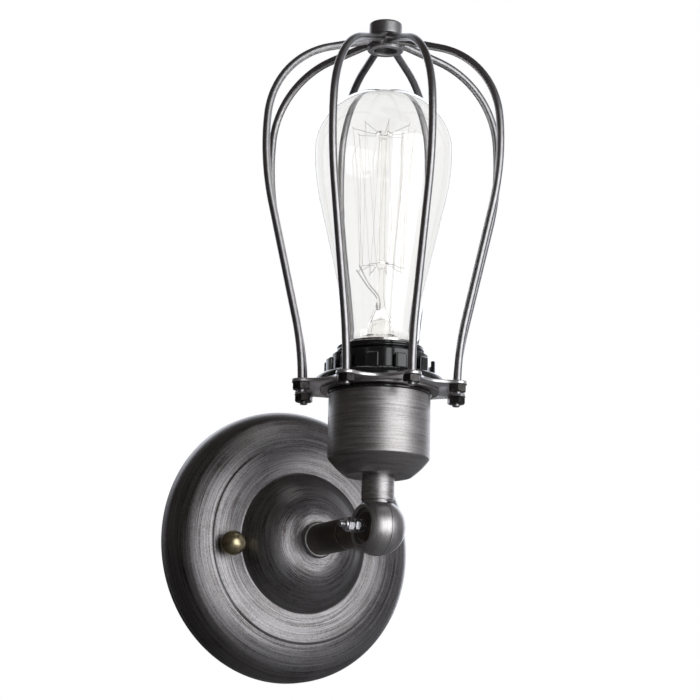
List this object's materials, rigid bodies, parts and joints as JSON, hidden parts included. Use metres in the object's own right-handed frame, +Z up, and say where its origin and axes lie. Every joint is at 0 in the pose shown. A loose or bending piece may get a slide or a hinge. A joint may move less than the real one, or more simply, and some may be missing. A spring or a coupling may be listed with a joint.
{
  "type": "cage wall light",
  "caption": "Adjustable wall light with a round wall plate, a swivel arm, a socket cup and a wire cage round a pear-shaped lamp.",
  "frame": {"origin": "centre of the wall plate's back, on the wall, midway between the two wall screw holes", "axes": "+Y into the wall, -Y out of the wall, +Z up, the swivel turns about a line along X"},
  "size_m": [0.1256, 0.142, 0.2937],
  "materials": {
    "antique_pewter": "brushed, antique pewter plated",
    "gunmetal": "smooth, dark gunmetal plated",
    "bright_nickel": "bright nickel plated",
    "zinc_plated": "zinc plated",
    "blackened_steel": "black oxide",
    "antique_brass": "antique brass, polished",
    "raw_brass": "machined",
    "chrome_bolt": "polished",
    "bakelite": "glossy black moulding",
    "ivory_plastic": "moulded",
    "wire_sheath": "extruded insulation",
    "clear_glass": "clear, slightly warm",
    "stem_glass": "clear",
    "cap_nickel": "rolled, bright",
    "support_wire": "drawn wire",
    "filament": "fine drawn thread"
  },
  "bodies": {
    "fixed": {"canopy": "antique_pewter", "crossbar": "zinc_plated", "mounting_studs": "zinc_plated", "stud_lock_nuts": "zinc_plated", "ball_nuts": "antique_brass", "earth_screw": "raw_brass", "terminal_block": "ivory_plastic", "terminal_screws": "raw_brass", "arm_nipple": "raw_brass", "arm_lock_washer": "zinc_plated", "arm_lock_nut": "raw_brass", "arm_collar": "antique_pewter", "arm_sleeve": "antique_pewter", "swivel_arm_half": "antique_pewter", "arm_leads": "wire_sheath"},
    "head": {"swivel_head_half": "antique_pewter", "clamp_bolt": "chrome_bolt", "clamp_washer": "zinc_plated", "clamp_nuts": "chrome_bolt", "spring_washer": "blackened_steel", "clamp_lock_nut": "chrome_bolt", "neck_nipple": "raw_brass", "neck_lock_washer": "zinc_plated", "neck_lock_nut": "raw_brass", "socket_cup": "antique_pewter", "holder_base": "bakelite", "holder_sleeve": "bakelite", "holder_shell": "raw_brass", "holder_contact": "raw_brass", "holder_terminals": "raw_brass", "holder_screws": "zinc_plated", "head_leads": "wire_sheath", "seat_washer": "gunmetal", "cage_plate": "bright_nickel", "ring_nut": "bakelite", "cage_bar_1": "gunmetal", "cage_bar_2": "gunmetal", "cage_bar_3": "gunmetal", "cage_bar_4": "gunmetal", "cage_bar_5": "gunmetal", "cage_bar_6": "gunmetal", "cage_bar_7": "gunmetal", "cage_bar_8": "gunmetal", "bar_nuts": "blackened_steel", "cage_hub": "gunmetal", "hub_knob": "gunmetal", "lamp_glass": "clear_glass", "lamp_stem": "stem_glass", "lamp_cap": "cap_nickel", "lamp_insulator": "bakelite", "lamp_contact": "zinc_plated", "lamp_hooks": "support_wire", "lamp_leads": "support_wire", "lamp_filament": "filament"}
  },
  "joints": [
    {"name": "head_tilt", "type": "hinge", "parent": "fixed", "child": "head", "pos_m": [0, -0.085, 0], "axis": [1, 0, 0], "range_deg": [-6, 180]}
  ]
}
